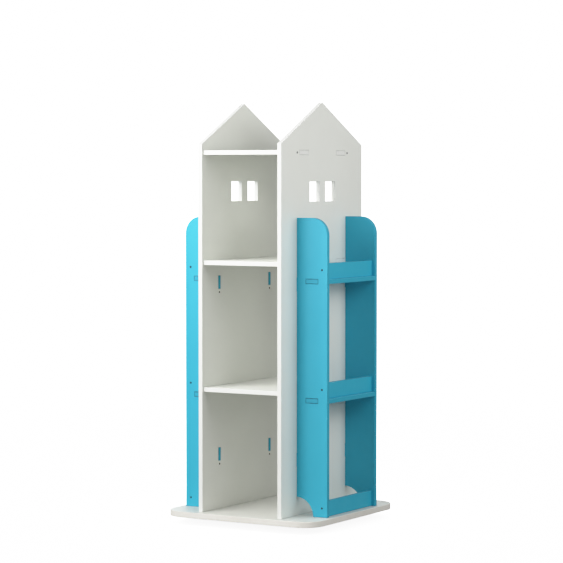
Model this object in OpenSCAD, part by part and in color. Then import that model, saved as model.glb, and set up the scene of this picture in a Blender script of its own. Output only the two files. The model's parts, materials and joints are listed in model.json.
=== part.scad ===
// Revolving bookcase: a house-shaped case with side racks on a ball-bearing swivel
// All sizes are in millimetres, +Z is up and the origin is on the floor under the swivel's axis

/* [Boards] */
// Thickness of the case, shelf, rack, tray and rail boards
board_t = 12; // [10:0.5:15]
// Clearance on each side of a tenon in its slot
slot_clear = 0.2; // [0.1:0.05:0.4]

/* [Case] */
// Width over the two gable panels
body_w = 258; // [230:1:300]
// Depth of the gable panels
body_d = 430; // [400:1:470]
// Distance of a shelf's front and rear edges behind the panels' edges
shelf_setback = 7; // [0:0.5:20]
// Height of the eaves above the base plate
eave_h = 984; // [975:1:1060]
// Rise of the gable's ridge above the eaves
ridge_rise = 112; // [60:1:160]
// Height of the lower shelf's underside above the base plate
lower_shelf_h = 323; // [200:1:420]
// Height of the upper shelf's underside above the base plate
upper_shelf_h = 662; // [640:1:760]
// Distance of the top shelf's underside below the eaves
top_shelf_drop = 29; // [19:1:80]
// Length of a shelf tenon
shelf_tenon_l = 48; // [30:1:48]
// Distance of a shelf tenon's middle from the case's middle
shelf_tenon_y = 97.5; // [70:0.5:97.5]

/* [Windows] */
// Side of a square window in a gable panel
window_w = 53; // [30:1:60]
// Width of the panel left between the two windows
window_gap = 30; // [20:1:60]
// Height of the windows' lower edge above the base plate
window_h = 831; // [800:1:870]

/* [Racks] */
// Width over a rack's front and rear boards
rack_w = 271; // [256:1:300]
// Distance that a rack stands out from its gable panel
rack_p = 93; // [80:1:110]
// Height of the rack boards
rack_h = 789; // [720:1:860]
// Radius of a rack board's outer top corner
rack_round = 46; // [20:1:60]
// Radius of the cut-out at a rack board's inner bottom corner
foot_round = 50; // [30:1:55]
// Height of a rack board's tenon in the gable panel
rack_tenon_h = 36; // [24:1:44]
// Height of the lower rack tenon's bottom above the base plate
rack_tenon_low = 130; // [100:1:240]
// Height of the upper rack tenon's bottom above the base plate
rack_tenon_high = 595; // [500:1:600]

/* [Trays and rails] */
// Height of the lower tray's underside above the base plate
lower_tray_h = 301; // [240:1:380]
// Height of the upper tray's underside above the base plate
upper_tray_h = 616; // [500:1:660]
// Length of a tray's tenon in the rack board
tray_tenon_l = 37; // [20:1:44]
// Height of a rail
rail_h = 42; // [34:1:60]
// Distance of a rail's face behind the rack boards' outer edges
rail_setback = 10; // [4:1:14]

/* [Base] */
// Distance that the base plate stands out past the case and racks
plate_margin = 13; // [8:1:30]
// Thickness of the base plate
plate_t = 16; // [14:0.5:20]
// Corner radius of the base plate
plate_round = 60; // [30:1:90]
// Diameter of the round floor base
floor_d = 262; // [240:1:310]
// Thickness of the floor base
floor_t = 9; // [9:0.5:15]
// Diameter of a rubber pad
pad_d = 30; // [20:1:40]
// Thickness of a rubber pad
pad_t = 2; // [2:0.5:6]
// Distance of a pad's middle from the floor base's edge
pad_inset = 22; // [20:1:40]
// Number of rubber pads
pad_count = 6; // [3:1:8]

/* [Swivel] */
// Side of the square swivel plates
swivel_w = 150; // [144:1:170]
// Corner radius of the swivel plates
swivel_round = 12; // [6:1:16]
// Thickness of a swivel plate
swivel_t = 2.5; // [2.5:0.1:4]
// Radius of the ball race
race_r = 55; // [50:1:60]
// Depth of the race in each swivel plate
race_depth = 1.2; // [0.8:0.1:1.4]
// Play between a ball and the race or the cage
race_play = 0.2; // [0.1:0.05:0.3]
// Diameter of a ball
ball_d = 6; // [5:0.1:7]
// Number of balls in the race
ball_count = 24; // [12:1:30]
// Width of the ball cage's ring
cage_w = 10; // [9:0.5:13]
// Thickness of the ball cage
cage_t = 1.2; // [0.8:0.1:2]
// Diameter of the centre rivet's shaft
rivet_d = 16; // [10:1:24]
// Running clearance between the rivet's shaft and the upper plate's bore
rivet_play = 0.08; // [0.04:0.01:0.1]
// Width of the rivet's flanges outside its shaft
flange_w = 5; // [3:0.5:8]
// Thickness of the rivet's flanges
flange_t = 1; // [0.8:0.1:1.2]
// Clearance round the rivet's upper flange
flange_play = 0.3; // [0.2:0.05:0.4]
// Diameter of the hole in the floor base that lets a driver reach the upper swivel screws
access_d = 16; // [12:1:20]

/* [Screws] */
// Diameter of a board screw
screw_d = 3.5; // [3:0.1:4.4]
// Diameter of a board screw's head
screw_head_d = 5.5; // [5:0.1:8]
// Length of a board screw
screw_l = 40; // [32:1:48]
// Width of the socket in a screw's head, across its corners
screw_socket = 2.8; // [2:0.1:3.2]
// Depth of the socket in a screw's head
socket_depth = 1.2; // [0.8:0.1:1.6]
// Length of a screw's point
screw_point = 3; // [2:0.5:4]
// Clearance between a screw and its hole
screw_clear = 0.1; // [0.05:0.05:0.2]
// Distance of the top shelf's screws from the case's middle
top_screw_y = 133; // [129:1:150]
// Distance of the other shelves' screws from the case's middle
shelf_screw_y = 30; // [15:1:45]
// Distance of a rack screw below its tenon
rack_screw_drop = 8.5; // [6:0.5:16]
// Height of a rail's screws above the rail's lower edge
rail_screw_h = 24.5; // [12:0.5:30]
// Distance of a panel's outer base screws from the case's middle
base_screw_y = 160; // [120:1:185]
// Diameter of a swivel screw
swivel_screw_d = 3.5; // [3:0.1:4]
// Diameter of a swivel screw's head
swivel_head_d = 6.5; // [6:0.1:7]
// Length of a lower swivel screw
lower_swivel_screw_l = 10; // [8:0.5:11]
// Length of an upper swivel screw
upper_swivel_screw_l = 14; // [10:0.5:16]
// Distance of a swivel screw from the swivel plate's edges
swivel_screw_inset = 10; // [8:1:14]

/* [Hidden] */
$fn = 64;
past = 1;
panel_x = body_w / 2;
inner_x = panel_x - board_t;
rack_x = panel_x + rack_p;
rack_y = rack_w / 2;
rack_inner_y = rack_y - board_t;
apex_h = eave_h + ridge_rise;
top_shelf_h = eave_h - top_shelf_drop;
shelf_heights = [lower_shelf_h, upper_shelf_h, top_shelf_h];
shelf_screw_ys = [shelf_screw_y, shelf_screw_y, top_screw_y];
rack_tenons = [rack_tenon_low, rack_tenon_high];
tray_tops = [lower_tray_h + board_t, upper_tray_h + board_t];
tray_middle_x = panel_x + rack_p / 2;
rail_x = rack_x - rail_setback - board_t;
rail_floors = [0, tray_tops[0], tray_tops[1]];
plate_w = max(2 * rack_x, body_d) + 2 * plate_margin;
floor_top = pad_t + floor_t;
ball_r = ball_d / 2;
race_groove_r = ball_r + race_play;
swivel_gap = 2 * (race_groove_r - race_depth);
lower_top = floor_top + swivel_t;
race_z = lower_top + swivel_gap / 2;
upper_low = lower_top + swivel_gap;
plate_low = upper_low + swivel_t;
plate_top = plate_low + plate_t;
flange_d = rivet_d + 2 * flange_w;
flange_low = upper_low + swivel_t - flange_t - 2 * flange_play;
flange_seat = flange_low - flange_play;
swivel_screw_x = swivel_w / 2 - swivel_screw_inset;
foot_x = panel_x + (foot_round + rack_p) / 2;
white = "#eef1ec";
blue = "#4bb9d2";
steel = "silver";
dark = "#33383c";

// Square with round corners, centred
module rounded_square(side, round) {
    square([side, side - 2 * round], center = true);
    square([side - 2 * round, side], center = true);
    for (x = [-1, 1], y = [-1, 1])
        translate([x, y] * (side / 2 - round)) circle(round);
}

// Countersunk screw with its head's face at z = 0 and its point down
module screw(d, head_d, length) {
    difference() {
        rotate_extrude()
            polygon([
                [0, 0], [head_d / 2, 0], [d / 2, (d - head_d) / 2],
                [d / 2, screw_point - length], [0, -length]
            ]);
        translate([0, 0, -socket_depth]) cylinder(h = socket_depth + past, d = screw_socket, $fn = 6);
    }
}

// Room for a screw, open at its head
module screw_hole(d, head_d, length) {
    rotate_extrude()
        polygon([
            [0, past], [head_d / 2 + screw_clear, past], [head_d / 2 + screw_clear, 0],
            [d / 2 + screw_clear, (d - head_d) / 2],
            [d / 2 + screw_clear, -length - screw_clear], [0, -length - screw_clear]
        ]);
}

module board_screw() {
    screw(screw_d, screw_head_d, screw_l);
}

module board_screw_hole() {
    screw_hole(screw_d, screw_head_d, screw_l);
}

// Children on both sides of the case, mirrored to the left
module both_sides() {
    for (left = [0, 1]) mirror([left, 0, 0]) children();
}

// Children on the right, or mirrored to the left
module on_side(left) {
    mirror([left ? 1 : 0, 0, 0]) children();
}

// Children at the front of a rack, or mirrored to the rear
module at_end(rear) {
    mirror([0, rear ? 1 : 0, 0]) children();
}

// Children at one shelf's screws on the right panel's outer face, facing out
module at_shelf_screws(shelf) {
    for (y = [-1, 1])
        translate([panel_x, y * shelf_screw_ys[shelf], shelf_heights[shelf] + board_t / 2])
            rotate([0, 90, 0]) children();
}

// Children at the front rack board's screws on the right panel's inner face, facing in
module at_rack_screws() {
    for (z = rack_tenons)
        translate([inner_x, board_t / 2 - rack_y, z - rack_screw_drop])
            rotate([0, -90, 0]) children();
}

// Children at one rail's screw on the right front rack board's outer face, facing out
module at_rail_screw(rail) {
    translate([rail_x + board_t / 2, -rack_y, rail_floors[rail] + rail_screw_h])
        rotate([90, 0, 0]) children();
}

// Children under the base plate at the right panel's screws, facing down
module at_panel_base_screws() {
    for (y = [-1, 0, 1])
        translate([panel_x - board_t / 2, y * base_screw_y, -plate_t]) rotate([180, 0, 0]) children();
}

// Children under the base plate at the right front rack board's screw, facing down
module at_rack_base_screw() {
    translate([foot_x, board_t / 2 - rack_y, -plate_t]) rotate([180, 0, 0]) children();
}

// Children at the four corners of a swivel plate
module at_swivel_screws() {
    for (x = [-1, 1], y = [-1, 1]) translate([x, y, 0] * swivel_screw_x) children();
}

// Windows and tenon slots of a gable panel, in its own plane
module panel_cuts() {
    for (y = [-1, 1]) {
        translate([y * (window_gap + window_w) / 2, window_h + window_w / 2])
            square(window_w, center = true);
        for (z = shelf_heights)
            translate([y * shelf_tenon_y, z + board_t / 2])
                square([shelf_tenon_l, board_t] + 2 * slot_clear * [1, 1], center = true);
        for (z = rack_tenons)
            translate([y * (rack_y - board_t / 2), z + rack_tenon_h / 2])
                square([board_t, rack_tenon_h] + 2 * slot_clear * [1, 1], center = true);
    }
}

// House-shaped side board, standing on the base plate
module gable_panel() {
    difference() {
        translate([inner_x, 0, 0]) rotate([90, 0, 90]) linear_extrude(board_t)
            difference() {
                polygon([
                    [-body_d / 2, 0], [body_d / 2, 0], [body_d / 2, eave_h],
                    [0, apex_h], [-body_d / 2, eave_h]
                ]);
                panel_cuts();
            }
        for (shelf = [0 : len(shelf_heights) - 1]) at_shelf_screws(shelf) board_screw_hole();
        for (rear = [false, true]) at_end(rear) at_rack_screws() board_screw_hole();
        at_panel_base_screws() board_screw_hole();
    }
}

// Shelf between the panels with two tenons through each of them
module shelf_board(shelf) {
    difference() {
        translate([0, 0, shelf_heights[shelf]]) linear_extrude(board_t) {
            square([2 * inner_x, body_d - 2 * shelf_setback], center = true);
            for (y = [-1, 1])
                translate([0, y * shelf_tenon_y]) square([body_w, shelf_tenon_l], center = true);
        }
        both_sides() at_shelf_screws(shelf) board_screw_hole();
    }
}

// Outline of a rack board from the panel's face outwards, with its two tenons into the panel
module rack_outline() {
    difference() {
        square([rack_p, rack_h]);
        circle(foot_round);
        translate([rack_p - rack_round, rack_h - rack_round])
            difference() {
                square(rack_round + past);
                circle(rack_round);
            }
    }
    for (z = rack_tenons) translate([-board_t, z]) square([board_t + past, rack_tenon_h]);
}

// Front upright board of the right rack
module rack_board() {
    difference() {
        translate([panel_x, -rack_inner_y, 0]) rotate([90, 0, 0]) linear_extrude(board_t)
            difference() {
                rack_outline();
                for (z = tray_tops)
                    translate([rack_p / 2, z - board_t / 2])
                        square([tray_tenon_l, board_t] + 2 * slot_clear * [1, 1], center = true);
            }
        at_rack_screws() board_screw_hole();
        for (rail = [0 : len(rail_floors) - 1]) at_rail_screw(rail) board_screw_hole();
        at_rack_base_screw() board_screw_hole();
    }
}

// Tray of the right rack with a tenon through each rack board
module tray(top) {
    translate([tray_middle_x, 0, top - board_t]) linear_extrude(board_t) {
        square([rack_p, 2 * rack_inner_y], center = true);
        square([tray_tenon_l, rack_w], center = true);
    }
}

// Retaining rail of the right rack
module rail_strip(rail) {
    difference() {
        translate([rail_x, -rack_inner_y, rail_floors[rail]]) cube([board_t, 2 * rack_inner_y, rail_h]);
        for (rear = [false, true]) at_end(rear) at_rail_screw(rail) board_screw_hole();
    }
}

module floor_base() {
    color(white) difference() {
        translate([0, 0, pad_t]) cylinder(h = floor_t, d = floor_d);
        translate([0, -swivel_screw_x * sqrt(2), pad_t - past]) cylinder(h = floor_t + 2 * past, d = access_d);
        translate([0, 0, lower_top]) at_swivel_screws()
            screw_hole(swivel_screw_d, swivel_head_d, lower_swivel_screw_l);
    }
}

module floor_pads() {
    color(dark) for (i = [0 : pad_count - 1])
        rotate([0, 0, (i + 0.5) * 360 / pad_count - 90]) translate([floor_d / 2 - pad_inset, 0, 0])
            cylinder(h = pad_t, d = pad_d);
}

// Ball race: a ring groove round the swivel's axis, half of it in each plate
module race() {
    translate([0, 0, race_z]) rotate_extrude() translate([race_r, 0]) circle(race_groove_r);
}

module swivel_lower_plate() {
    color(steel) difference() {
        translate([0, 0, floor_top]) linear_extrude(swivel_t) rounded_square(swivel_w, swivel_round);
        race();
        translate([0, 0, floor_top - past]) cylinder(h = flange_t + past, d = flange_d);
        translate([0, 0, floor_top]) cylinder(h = swivel_t + past, d = rivet_d);
        translate([0, 0, lower_top]) at_swivel_screws()
            screw_hole(swivel_screw_d, swivel_head_d, lower_swivel_screw_l);
    }
}

module swivel_upper_plate() {
    color(steel) difference() {
        translate([0, 0, upper_low]) linear_extrude(swivel_t) rounded_square(swivel_w, swivel_round);
        race();
        translate([0, 0, upper_low - past]) cylinder(h = swivel_t + past, d = rivet_d + 2 * rivet_play);
        translate([0, 0, flange_seat]) cylinder(h = swivel_t, d = flange_d + 2 * flange_play);
        translate([0, 0, upper_low]) rotate([180, 0, 0]) at_swivel_screws()
            screw_hole(swivel_screw_d, swivel_head_d, upper_swivel_screw_l);
    }
}

module swivel_balls() {
    color(steel) for (i = [0 : ball_count - 1])
        rotate([0, 0, i * 360 / ball_count]) translate([race_r, 0, race_z]) sphere(ball_r);
}

module swivel_ball_cage() {
    color("goldenrod") difference() {
        translate([0, 0, race_z - cage_t / 2]) linear_extrude(cage_t) difference() {
            circle(race_r + cage_w / 2);
            circle(race_r - cage_w / 2);
        }
        for (i = [0 : ball_count - 1])
            rotate([0, 0, i * 360 / ball_count]) translate([race_r, 0, race_z - cage_t])
                cylinder(h = 2 * cage_t, r = race_groove_r);
    }
}

// Rivet that holds the two swivel plates together and is the axis they turn on
module swivel_centre_rivet() {
    color(steel) {
        translate([0, 0, floor_top]) cylinder(h = flange_t, d = flange_d);
        translate([0, 0, floor_top]) cylinder(h = flange_low + flange_t - floor_top, d = rivet_d);
        translate([0, 0, flange_low]) cylinder(h = flange_t, d = flange_d);
    }
}

module swivel_lower_screws() {
    color(dark) translate([0, 0, lower_top]) at_swivel_screws()
        screw(swivel_screw_d, swivel_head_d, lower_swivel_screw_l);
}

module swivel_upper_screws() {
    color(dark) translate([0, 0, upper_low]) rotate([180, 0, 0]) at_swivel_screws()
        screw(swivel_screw_d, swivel_head_d, upper_swivel_screw_l);
}

module base_plate() {
    color(white) difference() {
        translate([0, 0, plate_low]) linear_extrude(plate_t) rounded_square(plate_w, plate_round);
        translate([0, 0, plate_top]) both_sides() {
            at_panel_base_screws() board_screw_hole();
            for (rear = [false, true]) at_end(rear) at_rack_base_screw() board_screw_hole();
        }
        translate([0, 0, upper_low]) rotate([180, 0, 0]) at_swivel_screws()
            screw_hole(swivel_screw_d, swivel_head_d, upper_swivel_screw_l);
    }
}

module placed_panel(left) {
    color(white) translate([0, 0, plate_top]) on_side(left) gable_panel();
}

module placed_shelf(shelf) {
    color(white) translate([0, 0, plate_top]) shelf_board(shelf);
}

module placed_rack_board(left, rear) {
    color(blue) translate([0, 0, plate_top]) on_side(left) at_end(rear) rack_board();
}

module placed_tray(left, tray) {
    color(blue) translate([0, 0, plate_top]) on_side(left) tray(tray_tops[tray]);
}

module placed_rail(left, rail) {
    color(blue) translate([0, 0, plate_top]) on_side(left) rail_strip(rail);
}

module shelf_screws() {
    color(dark) translate([0, 0, plate_top]) both_sides()
        for (shelf = [0 : len(shelf_heights) - 1]) at_shelf_screws(shelf) board_screw();
}

module rack_screws() {
    color(dark) translate([0, 0, plate_top]) both_sides()
        for (rear = [false, true]) at_end(rear) at_rack_screws() board_screw();
}

module rail_screws() {
    color(dark) translate([0, 0, plate_top]) both_sides()
        for (rear = [false, true], rail = [0 : len(rail_floors) - 1])
            at_end(rear) at_rail_screw(rail) board_screw();
}

module base_screws() {
    color(dark) translate([0, 0, plate_top]) both_sides() {
        at_panel_base_screws() board_screw();
        for (rear = [false, true]) at_end(rear) at_rack_base_screw() board_screw();
    }
}

floor_base();
floor_pads();
swivel_lower_plate();
swivel_upper_plate();
swivel_balls();
swivel_ball_cage();
swivel_centre_rivet();
swivel_lower_screws();
swivel_upper_screws();
base_plate();
placed_panel(true);  // left_gable_panel
placed_panel(false);  // right_gable_panel
placed_shelf(0);  // lower_shelf
placed_shelf(1);  // upper_shelf
placed_shelf(2);  // top_shelf
placed_rack_board(true, false);  // left_rack_front_board
placed_rack_board(true, true);  // left_rack_rear_board
placed_rack_board(false, false);  // right_rack_front_board
placed_rack_board(false, true);  // right_rack_rear_board
placed_tray(true, 0);  // left_lower_tray
placed_tray(true, 1);  // left_upper_tray
placed_tray(false, 0);  // right_lower_tray
placed_tray(false, 1);  // right_upper_tray
placed_rail(true, 0);  // left_bottom_rail
placed_rail(true, 1);  // left_middle_rail
placed_rail(true, 2);  // left_upper_rail
placed_rail(false, 0);  // right_bottom_rail
placed_rail(false, 1);  // right_middle_rail
placed_rail(false, 2);  // right_upper_rail
shelf_screws();
rack_screws();
rail_screws();
base_screws();
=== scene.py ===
import json
import math

import bmesh
import bpy
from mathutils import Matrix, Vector
from mathutils.geometry import intersect_point_line


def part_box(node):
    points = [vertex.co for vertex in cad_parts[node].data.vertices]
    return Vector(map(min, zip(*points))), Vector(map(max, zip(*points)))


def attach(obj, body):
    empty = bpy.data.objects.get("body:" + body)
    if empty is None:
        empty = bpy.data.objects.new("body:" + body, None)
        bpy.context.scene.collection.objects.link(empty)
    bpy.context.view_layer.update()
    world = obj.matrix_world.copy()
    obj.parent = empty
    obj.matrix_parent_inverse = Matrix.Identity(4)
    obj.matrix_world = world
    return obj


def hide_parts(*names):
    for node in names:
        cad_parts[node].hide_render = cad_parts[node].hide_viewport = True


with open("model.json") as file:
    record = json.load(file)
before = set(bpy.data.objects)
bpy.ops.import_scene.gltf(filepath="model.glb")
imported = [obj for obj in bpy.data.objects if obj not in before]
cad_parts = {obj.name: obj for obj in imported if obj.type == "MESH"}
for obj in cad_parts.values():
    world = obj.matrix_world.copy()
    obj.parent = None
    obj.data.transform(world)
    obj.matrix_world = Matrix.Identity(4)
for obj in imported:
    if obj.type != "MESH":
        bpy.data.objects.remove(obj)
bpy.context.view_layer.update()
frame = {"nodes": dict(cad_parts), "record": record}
nodes = frame["nodes"]
bodyOf = {node: body for body, group in frame["record"]["behaviour"]["bodies"].items() for node in group}
print("frame loaded:", len(nodes), "nodes")

sides = ("left", "right")
whiteBoards = ["left_gable_panel", "right_gable_panel", "lower_shelf", "upper_shelf", "top_shelf"]
rackBoards = [f"{side}_rack_{end}_board" for side in sides for end in ("front", "rear")]
trays = [f"{side}_{level}_tray" for side in sides for level in ("lower", "upper")]
rails = [f"{side}_{level}_rail" for side in sides for level in ("bottom", "middle", "upper")]
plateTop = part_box("base_plate")[1][2]


# shared node groups

def newGroup(name, inputs, outputs):
    group = bpy.data.node_groups.new(name, "ShaderNodeTree")
    for label, value in inputs.items():
        socket = group.interface.new_socket(label, in_out="INPUT", socket_type="NodeSocketFloat")
        socket.default_value = value
    for label in outputs:
        group.interface.new_socket(label, in_out="OUTPUT", socket_type="NodeSocketFloat")
    return group, group.nodes.new("NodeGroupInput"), group.nodes.new("NodeGroupOutput")


def noiseNode(tree, vector, detail, rough=0.5):
    noise = tree.nodes.new("ShaderNodeTexNoise")
    noise.inputs["Detail"].default_value = detail
    noise.inputs["Roughness"].default_value = rough
    tree.links.new(vector, noise.inputs["Vector"])
    return noise


def mapNode(tree, value, span, target=(0.0, 1.0)):
    ramp = tree.nodes.new("ShaderNodeMapRange")
    for label, number in zip(("From Min", "From Max", "To Min", "To Max"), (*span, *target)):
        ramp.inputs[label].default_value = number
    tree.links.new(value, ramp.inputs["Value"])
    return ramp.outputs["Result"]


def mathNode(tree, kind, first, second):
    node = tree.nodes.new("ShaderNodeMath")
    node.operation = kind
    for value, socket in zip((first, second), node.inputs):
        tree.links.new(value, socket)
    return node.outputs["Value"]


peelSettings = {"peelDetail": 2.0, "cloudDetail": 4.0, "cloudRough": 0.6, "cloudSpan": (0.3, 0.7)}


def makeLacquerPeel(look):
    # fine orange peel of a sprayed coat, and slow cloudy changes of tone
    scales = {"Peel Scale": 900.0, "Cloud Scale": 6.0}
    group, given, out = newGroup("lacquerPeel", scales, ("Height", "Cloud"))
    place = group.nodes.new("ShaderNodeTexCoord").outputs["Object"]
    peel = noiseNode(group, place, look["peelDetail"])
    group.links.new(given.outputs["Peel Scale"], peel.inputs["Scale"])
    cloud = noiseNode(group, place, look["cloudDetail"], look["cloudRough"])
    group.links.new(given.outputs["Cloud Scale"], cloud.inputs["Scale"])
    group.links.new(peel.outputs["Fac"], out.inputs["Height"])
    group.links.new(mapNode(group, cloud.outputs["Fac"], look["cloudSpan"]), out.inputs["Cloud"])
    return group


rubSettings = {"detail": 5.0, "rough": 0.65, "fade": (0.0, 0.08)}


def makeRubbedEdge(look):
    # broken patches where handling rubs the coat thin
    group, given, out = newGroup("rubbedEdge", {"Patch Scale": 35.0, "Reach": 0.6}, ("Mask",))
    place = group.nodes.new("ShaderNodeTexCoord").outputs["Object"]
    patch = noiseNode(group, place, look["detail"], look["rough"])
    group.links.new(given.outputs["Patch Scale"], patch.inputs["Scale"])
    over = mathNode(group, "SUBTRACT", patch.outputs["Fac"], given.outputs["Reach"])
    group.links.new(mapNode(group, over, look["fade"]), out.inputs["Mask"])
    return group


dustSettings = {
    "facingUp": (0.6, 1.0), "detail": 6.0, "rough": 0.7, "patchSpan": (0.35, 0.7), "patchAmount": (0.2, 1.0),
}


def makeSettledDust(look):
    # thin dust on what faces up, thicker in soft patches
    group, given, out = newGroup("settledDust", {"Patch Scale": 9.0, "Amount": 0.3}, ("Mask",))
    coords = group.nodes.new("ShaderNodeTexCoord")
    split = group.nodes.new("ShaderNodeSeparateXYZ")
    group.links.new(coords.outputs["Normal"], split.inputs["Vector"])
    up = mapNode(group, split.outputs["Z"], look["facingUp"])
    patch = noiseNode(group, coords.outputs["Object"], look["detail"], look["rough"])
    group.links.new(given.outputs["Patch Scale"], patch.inputs["Scale"])
    thick = mapNode(group, patch.outputs["Fac"], look["patchSpan"], look["patchAmount"])
    amount = mathNode(group, "MULTIPLY", mathNode(group, "MULTIPLY", up, thick), given.outputs["Amount"])
    group.links.new(amount, out.inputs["Mask"])
    return group


groups = {
    "peel": makeLacquerPeel(peelSettings),
    "rub": makeRubbedEdge(rubSettings),
    "dust": makeSettledDust(dustSettings),
}
print("node groups made:", len(groups))


# materials

def newMaterial(name):
    material = bpy.data.materials.new(name)
    material.use_nodes = True
    return material, material.node_tree, material.node_tree.nodes["Principled BSDF"]


def placeGroup(tree, key, **values):
    node = tree.nodes.new("ShaderNodeGroup")
    node.node_tree = groups[key]
    for label, value in values.items():
        node.inputs[label.replace("_", " ")].default_value = value
    return node


def mixColours(tree, factor, first, second):
    mix = tree.nodes.new("ShaderNodeMix")
    mix.data_type = "RGBA"
    tree.links.new(factor, mix.inputs["Factor"])
    for socket, value in ((mix.inputs["A"], first), (mix.inputs["B"], second)):
        if isinstance(value, tuple):
            socket.default_value = (*value, 1.0)
        else:
            tree.links.new(value, socket)
    return mix.outputs["Result"]


def bumpFrom(tree, shader, height, strength, depth):
    bump = tree.nodes.new("ShaderNodeBump")
    bump.inputs["Strength"].default_value = strength
    bump.inputs["Distance"].default_value = depth
    tree.links.new(height, bump.inputs["Height"])
    tree.links.new(bump.outputs["Normal"], shader.inputs["Normal"])


def makeLacquer(name, look):
    material, tree, shader = newMaterial(name)
    peel = placeGroup(tree, "peel", Peel_Scale=look["peelScale"], Cloud_Scale=look["cloudScale"])
    colour = mixColours(tree, peel.outputs["Cloud"], look["light"], look["dark"])
    if look.get("rubbed"):
        rub = placeGroup(tree, "rub", Patch_Scale=look["rubScale"], Reach=look["rubReach"])
        colour = mixColours(tree, rub.outputs["Mask"], colour, look["rubbed"])
    dust = placeGroup(tree, "dust", Amount=look["dust"])
    colour = mixColours(tree, dust.outputs["Mask"], colour, look["dustColour"])
    tree.links.new(colour, shader.inputs["Base Color"])
    rough = mapNode(tree, peel.outputs["Cloud"], (0.0, 1.0), look["rough"])
    tree.links.new(rough, shader.inputs["Roughness"])
    shader.inputs["Specular IOR Level"].default_value = look["gloss"]
    bumpFrom(tree, shader, peel.outputs["Height"], look["bump"], look["bumpDepth"])
    return material


whiteFaceLook = {
    "light": (0.870, 0.882, 0.832), "dark": (0.835, 0.847, 0.797), "peelScale": 700.0, "cloudScale": 5.0,
    "rough": (0.40, 0.50), "gloss": 0.35, "bump": 0.12, "bumpDepth": 0.0002,
    "dust": 0.12, "dustColour": (0.74, 0.72, 0.68),
}
whiteEdgeLook = {**whiteFaceLook, "light": (0.880, 0.885, 0.855), "dark": (0.845, 0.85, 0.82), "dust": 0.05}
whiteRimLook = {**whiteEdgeLook, "rubbed": (0.70, 0.66, 0.58), "rubScale": 40.0, "rubReach": 0.66}
# the joint lacquers are darker copies of the edge lacquer: painted shade in the tenon grooves, and a painted
# contact shadow along the foot of each board
whiteJointLook = {
    **whiteEdgeLook, "light": (0.83, 0.84, 0.805), "dark": (0.70, 0.705, 0.67), "cloudScale": 60.0,
}
# the plate's top is a darker copy of the white face lacquer: painted shade
plateTopShadedLook = {**whiteFaceLook, "light": (0.76, 0.765, 0.72), "dark": (0.715, 0.72, 0.675)}
creamEdgeLook = {
    **whiteFaceLook, "light": (0.89, 0.868, 0.812), "dark": (0.83, 0.805, 0.742), "cloudScale": 14.0,
}
blueFaceLook = {
    "light": (0.037, 0.455, 0.635), "dark": (0.032, 0.428, 0.608), "peelScale": 600.0, "cloudScale": 6.0,
    "rough": (0.44, 0.54), "gloss": 0.4, "bump": 0.15, "bumpDepth": 0.0002,
    "dust": 0.15, "dustColour": (0.45, 0.55, 0.58),
}
# the blue edge lacquer is darker than the face: partly the edges' own rougher tone, partly painted shade
blueEdgeLook = {
    **blueFaceLook, "light": (0.031, 0.400, 0.565), "dark": (0.026, 0.375, 0.538), "rough": (0.5, 0.6),
}
blueRimLook = {**blueFaceLook, "rubbed": (0.16, 0.56, 0.69), "rubScale": 45.0, "rubReach": 0.60}
# darker blue for the joints: painted shade in the tenon grooves, and a painted contact shadow along the foot
# of each board
blueJointLook = {
    **blueEdgeLook, "light": (0.026, 0.33, 0.48), "dark": (0.010, 0.12, 0.20), "cloudScale": 60.0,
}

lacquerLooks = {
    "whiteFace": whiteFaceLook, "whiteEdge": whiteEdgeLook, "whiteRim": whiteRimLook,
    "whiteJointShade": whiteJointLook, "plateTop": plateTopShadedLook, "creamEdge": creamEdgeLook,
    "blueFace": blueFaceLook, "blueEdge": blueEdgeLook, "blueRim": blueRimLook,
    "blueJointShade": blueJointLook,
}
finishes = {name: makeLacquer(name, look) for name, look in lacquerLooks.items()}


def makeHardwareFinish(name, look):
    material, tree, shader = newMaterial(name)
    peel = placeGroup(tree, "peel", Peel_Scale=look["grainScale"], Cloud_Scale=look["cloudScale"])
    colour = mixColours(tree, peel.outputs["Cloud"], look["light"], look["dark"])
    tree.links.new(colour, shader.inputs["Base Color"])
    rough = mapNode(tree, peel.outputs["Cloud"], (0.0, 1.0), look["rough"])
    tree.links.new(rough, shader.inputs["Roughness"])
    shader.inputs["Metallic"].default_value = look["metal"]
    bumpFrom(tree, shader, peel.outputs["Height"], look["bump"], look["bumpDepth"])
    return material


screwLook = {
    "light": (0.012, 0.013, 0.015), "dark": (0.006, 0.007, 0.008), "metal": 0.2, "grainScale": 1500.0,
    "cloudScale": 120.0, "rough": (0.58, 0.72), "bump": 0.2, "bumpDepth": 0.0001,
}
paleScrewLook = {**screwLook, "light": (0.075, 0.077, 0.080), "dark": (0.050, 0.052, 0.055)}
zincLook = {
    "light": (0.62, 0.63, 0.64), "dark": (0.50, 0.51, 0.53), "metal": 1.0, "grainScale": 1200.0,
    "cloudScale": 60.0, "rough": (0.28, 0.45), "bump": 0.12, "bumpDepth": 0.0001,
}
ballLook = {
    **zincLook, "light": (0.72, 0.72, 0.73), "dark": (0.66, 0.66, 0.67), "rough": (0.08, 0.16), "bump": 0.02,
}
brassLook = {**zincLook, "light": (0.70, 0.52, 0.22), "dark": (0.55, 0.40, 0.17), "rough": (0.3, 0.42)}
rubberLook = {
    **screwLook, "light": (0.035, 0.035, 0.036), "dark": (0.022, 0.022, 0.023), "metal": 0.0,
    "rough": (0.75, 0.9), "bump": 0.4,
}

hardwareLooks = {
    "screw": screwLook, "paleScrew": paleScrewLook, "zinc": zincLook,
    "ball": ballLook, "brass": brassLook, "rubber": rubberLook,
}
finishes.update({name: makeHardwareFinish(name, look) for name, look in hardwareLooks.items()})
print("materials made:", len(finishes))


# pieces

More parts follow.
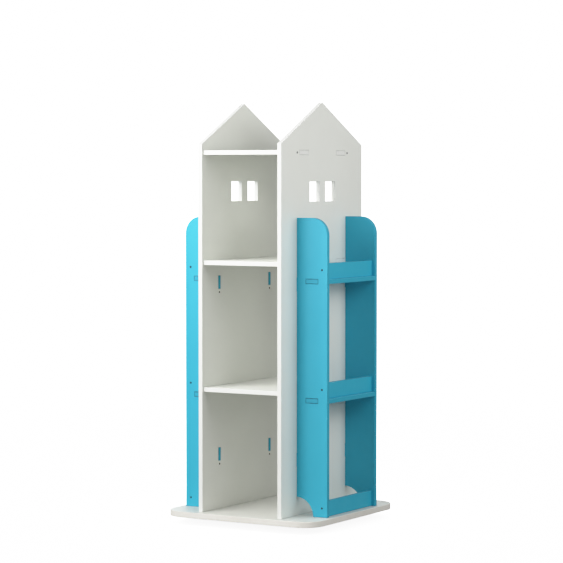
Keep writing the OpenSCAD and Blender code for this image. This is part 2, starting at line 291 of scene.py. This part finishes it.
meshSettings = {"mergeWithin": 1e-6, "flatWithin": 1.0, "smoothWithin": 35.0}  # metres, then degrees
facing = {"square": 0.9, "half": 0.5}  # how far a normal leans along an axis
faceSlot, edgeSlot, rimSlot, jointShadeSlot = range(4)  # order of a board's materials


def takeOnly(piece):
    bpy.ops.object.select_all(action="DESELECT")
    piece.select_set(True)
    bpy.context.view_layer.objects.active = piece


def copyOfNode(nodeName):
    piece = bpy.data.objects.new(nodeName + "_finished", nodes[nodeName].data.copy())
    bpy.context.scene.collection.objects.link(piece)
    takeOnly(piece)
    bpy.ops.object.mode_set(mode="EDIT")
    bpy.ops.mesh.select_all(action="SELECT")
    bpy.ops.mesh.remove_doubles(threshold=meshSettings["mergeWithin"])
    bpy.ops.mesh.dissolve_limited(angle_limit=math.radians(meshSettings["flatWithin"]))
    bpy.ops.object.mode_set(mode="OBJECT")
    return piece


def isBoardEdge(edge, look):
    # long outer edges only, so screw holes stay crisp
    if len(edge.link_faces) != 2 or not edge.is_convex or edge.calc_length() < look["shortest"]:
        return False
    return edge.calc_face_angle() > math.radians(look["sharpFrom"])


def edgeLoops(edges, thin):
    # edges round the board's two broad faces, in groups that touch
    waiting = {e for e in edges if any(abs(face.normal[thin]) > facing["square"] for face in e.link_faces)}
    while waiting:
        loop, border = [], [waiting.pop()]
        while border:
            edge = border.pop()
            loop.append(edge)
            near = {other for vert in edge.verts for other in vert.link_edges} & waiting
            waiting -= near
            border += near
        yield loop


def jointEdges(mesh, edges, thin, look):
    # mouths of the tenon slots, and the tenons' own ends
    joint = set()
    for loop in edgeLoops(edges, thin):
        if sum(edge.calc_length() for edge in loop) < look["jointLoop"]:
            joint.update(loop)
    sharp = set(edges)
    for face in mesh.faces:
        small = face.calc_perimeter() < look["jointLoop"]
        isFoot = face.normal.z < -facing["half"]
        if small and not isFoot and sharp.issuperset(face.edges):
            joint.update(face.edges)
    return [tuple(vert.co.copy() for vert in edge.verts) for edge in joint]


def isNear(point, ends, reach):
    along = intersect_point_line(point, *ends)[1]
    return (ends[0].lerp(ends[1], min(max(along, 0.0), 1.0)) - point).length < reach


def roundEdges(piece, thin, look):
    takeOnly(piece)
    bpy.ops.object.mode_set(mode="EDIT")
    bpy.ops.mesh.select_mode(type="EDGE")
    bpy.ops.mesh.select_all(action="DESELECT")
    mesh = bmesh.from_edit_mesh(piece.data)
    edges = [edge for edge in mesh.edges if isBoardEdge(edge, look)]
    joints = jointEdges(mesh, edges, thin, look)
    for edge in edges:
        edge.select = True
    bmesh.update_edit_mesh(piece.data)
    bpy.ops.mesh.bevel(offset=look["round"], segments=look["steps"], affect="EDGES", material=rimSlot)
    bpy.ops.object.mode_set(mode="OBJECT")
    rims = [polygon for polygon in piece.data.polygons if polygon.material_index == rimSlot]
    for polygon in rims:
        # rims at the foot of boards that stand on the plate get a painted contact shadow, and rims at slot
        # mouths and tenon ends get painted shade in their grooves
        atFootShade = abs(polygon.center.z - plateTop) < look["round"] and polygon.normal.z < 0.0
        if atFootShade or any(isNear(polygon.center, ends, look["round"]) for ends in joints):
            polygon.material_index = jointShadeSlot


def shadeClean(piece):
    takeOnly(piece)
    bpy.ops.object.shade_smooth_by_angle(angle=math.radians(meshSettings["smoothWithin"]))
    normals = piece.modifiers.new("evenNormals", "WEIGHTED_NORMAL")
    normals.keep_sharp = True
    bpy.ops.object.modifier_apply(modifier=normals.name)


def setPiece(piece, nodeName):
    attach(piece, bodyOf[nodeName])
    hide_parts(nodeName)


def finishBoard(nodeName, look):
    piece = copyOfNode(nodeName)
    piece.data.materials.clear()
    for key in (look["face"], look["edge"], look["rim"], look["joint"]):
        piece.data.materials.append(finishes[key])
    for polygon in piece.data.polygons:
        polygon.material_index = faceSlot
    low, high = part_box(nodeName)
    thin = min(range(3), key=lambda axis: high[axis] - low[axis])
    roundEdges(piece, thin, look)
    for polygon in piece.data.polygons:
        if polygon.material_index == faceSlot and abs(polygon.normal[thin]) < facing["half"]:
            polygon.material_index = edgeSlot
    shadeClean(piece)
    setPiece(piece, nodeName)


# a board's joint finish is painted shade: in its tenon grooves, and as a contact shadow along its foot
whiteBoardLook = {
    "face": "whiteFace", "edge": "whiteEdge", "rim": "whiteRim", "joint": "whiteJointShade",
    "round": 0.0009, "steps": 3, "sharpFrom": 25.0, "shortest": 0.003, "jointLoop": 0.15,
}
blueBoardLook = {
    **whiteBoardLook, "face": "blueFace", "edge": "blueEdge", "rim": "blueRim", "joint": "blueJointShade",
    "round": 0.0010,
}
# the plate's top uses that darker lacquer, which is painted shade
plateLook = {**whiteBoardLook, "face": "plateTop", "edge": "creamEdge", "rim": "creamEdge", "round": 0.0013}

for nodeName in whiteBoards:
    finishBoard(nodeName, whiteBoardLook)
print("white boards finished:", len(whiteBoards))
for nodeName in rackBoards + trays + rails:
    finishBoard(nodeName, blueBoardLook)
print("blue boards finished:", len(rackBoards + trays + rails))
for nodeName in ("base_plate", "floor_base"):
    finishBoard(nodeName, plateLook)
print("base boards finished")


hardware = {
    "zinc": ["swivel_lower_plate", "swivel_upper_plate", "swivel_centre_rivet"],
    "ball": ["swivel_balls"],
    "brass": ["swivel_ball_cage"],
    "rubber": ["floor_pads"],
    "paleScrew": ["shelf_screws"],
    "screw": ["rack_screws", "rail_screws", "base_screws", "swivel_lower_screws", "swivel_upper_screws"],
}
for finish, members in hardware.items():
    for nodeName in members:
        nodes[nodeName].data.materials.clear()
        nodes[nodeName].data.materials.append(finishes[finish])
print("hardware finished")


# floor, light and camera

plainWhite = (1.0, 1.0, 1.0, 1.0)
floorSettings = {
    "size": 60.0, "seenColour": (0.86, 0.86, 0.85), "bounceColour": (0.31, 0.31, 0.304), "rough": 0.7,
    "glow": (1.10, 2.0), "glowRadius": (0.25, 0.8),  # from near the object to far from it
}
bpy.ops.object.select_all(action="DESELECT")
bpy.ops.mesh.primitive_plane_add(size=floorSettings["size"], location=(0.0, 0.0, 0.0))
floor = bpy.context.object
floor.name = "studioFloor"
floorMaterial, floorTree, floorShader = newMaterial("studioFloor")
floorSight = floorTree.nodes.new("ShaderNodeLightPath").outputs["Is Camera Ray"]
floorColour = mixColours(floorTree, floorSight, floorSettings["bounceColour"], floorSettings["seenColour"])
floorTree.links.new(floorColour, floorShader.inputs["Base Color"])
floorShader.inputs["Roughness"].default_value = floorSettings["rough"]
reach = floorTree.nodes.new("ShaderNodeVectorMath")
reach.operation = "LENGTH"
floorTree.links.new(floorTree.nodes.new("ShaderNodeTexCoord").outputs["Object"], reach.inputs[0])
glow = mapNode(floorTree, reach.outputs["Value"], floorSettings["glowRadius"], floorSettings["glow"])
seenGlow = mathNode(floorTree, "MULTIPLY", glow, floorSight)
floorShader.inputs["Emission Color"].default_value = plainWhite
floorTree.links.new(seenGlow, floorShader.inputs["Emission Strength"])
floor.data.materials.append(floorMaterial)

worldSettings = {"strength": (0.22, 2.2)}  # as fill light, then as seen by the camera
world = bpy.data.worlds.new("studioWorld")
world.use_nodes = True
bpy.context.scene.world = world
backdrop = world.node_tree.nodes["Background"]
backdrop.inputs["Color"].default_value = plainWhite
worldSight = world.node_tree.nodes.new("ShaderNodeLightPath").outputs["Is Camera Ray"]
worldStrength = mapNode(world.node_tree, worldSight, (0.0, 1.0), worldSettings["strength"])
world.node_tree.links.new(worldStrength, backdrop.inputs["Strength"])

lightSettings = {
    "frontKey": {"place": (-0.4, -2.8, 1.2), "size": 1.2, "power": 42.5},
    "leftKey": {"place": (-1.2, -1.2, 1.4), "size": 0.8, "power": 3.6, "spread": 110.0},
    "nearKey": {"place": (-0.6, -1.0, 1.6), "size": 0.7, "power": 4.4, "spread": 110.0},
    "rightFill": {"place": (1.3, -0.6, 1.4), "size": 0.8, "power": 6.4},
    "rightSide": {"place": (1.7, 0.2, 1.05), "size": 0.9, "power": 8.7},
    "backLeft": {"place": (-1.8, 2.2, 1.7), "size": 1.4, "power": 24.0},
    "backKey": {"place": (-0.1, 2.9, 1.4), "size": 1.2, "power": 24.0},
}
lightAim = Vector((0.0, -0.1, 0.8))
openSpread = 180.0  # a lamp with no grid in front of it
for name, look in lightSettings.items():
    lamp = bpy.data.lights.new(name, "AREA")
    lamp.size = look["size"]
    lamp.energy = look["power"]
    lamp.spread = math.radians(look.get("spread", openSpread))
    holder = bpy.data.objects.new(name, lamp)
    bpy.context.scene.collection.objects.link(holder)
    holder.location = look["place"]
    holder.rotation_euler = (lightAim - Vector(look["place"])).to_track_quat("-Z", "Y").to_euler()
    holder.visible_camera = False

cameraSettings = {
    "place": (3.2846, -5.4397, 0.9428), "turn": 31.123, "tilt": 2.652, "lens": 149.72, "sensor": 36.0,
}
cameraData = bpy.data.cameras.new("photoCamera")
cameraData.sensor_width = cameraSettings["sensor"]
cameraData.lens = cameraSettings["lens"]
camera = bpy.data.objects.new("photoCamera", cameraData)
bpy.context.scene.collection.objects.link(camera)
camera.location = cameraSettings["place"]
camera.rotation_euler = (
    math.radians(90.0 - cameraSettings["tilt"]), 0.0, math.radians(cameraSettings["turn"]),
)
bpy.context.scene.camera = camera

# a soft shoulder, so that the brightest whites keep their shading
shoulder = [(0.55, 0.55), (0.80, 0.77), (1.05, 0.91), (1.40, 0.975)]
shoulderEnd = (2.0, 1.0)
viewSettings = bpy.context.scene.view_settings
viewSettings.view_transform = "Standard"
viewSettings.use_curve_mapping = True
viewSettings.curve_mapping.clip_max_x = shoulderEnd[0]
toneCurve = viewSettings.curve_mapping.curves[3]  # the one for all three colours
toneCurve.points[-1].location = shoulderEnd
for place in shoulder:
    toneCurve.points.new(*place)
viewSettings.curve_mapping.update()
print("floor, light and camera set")
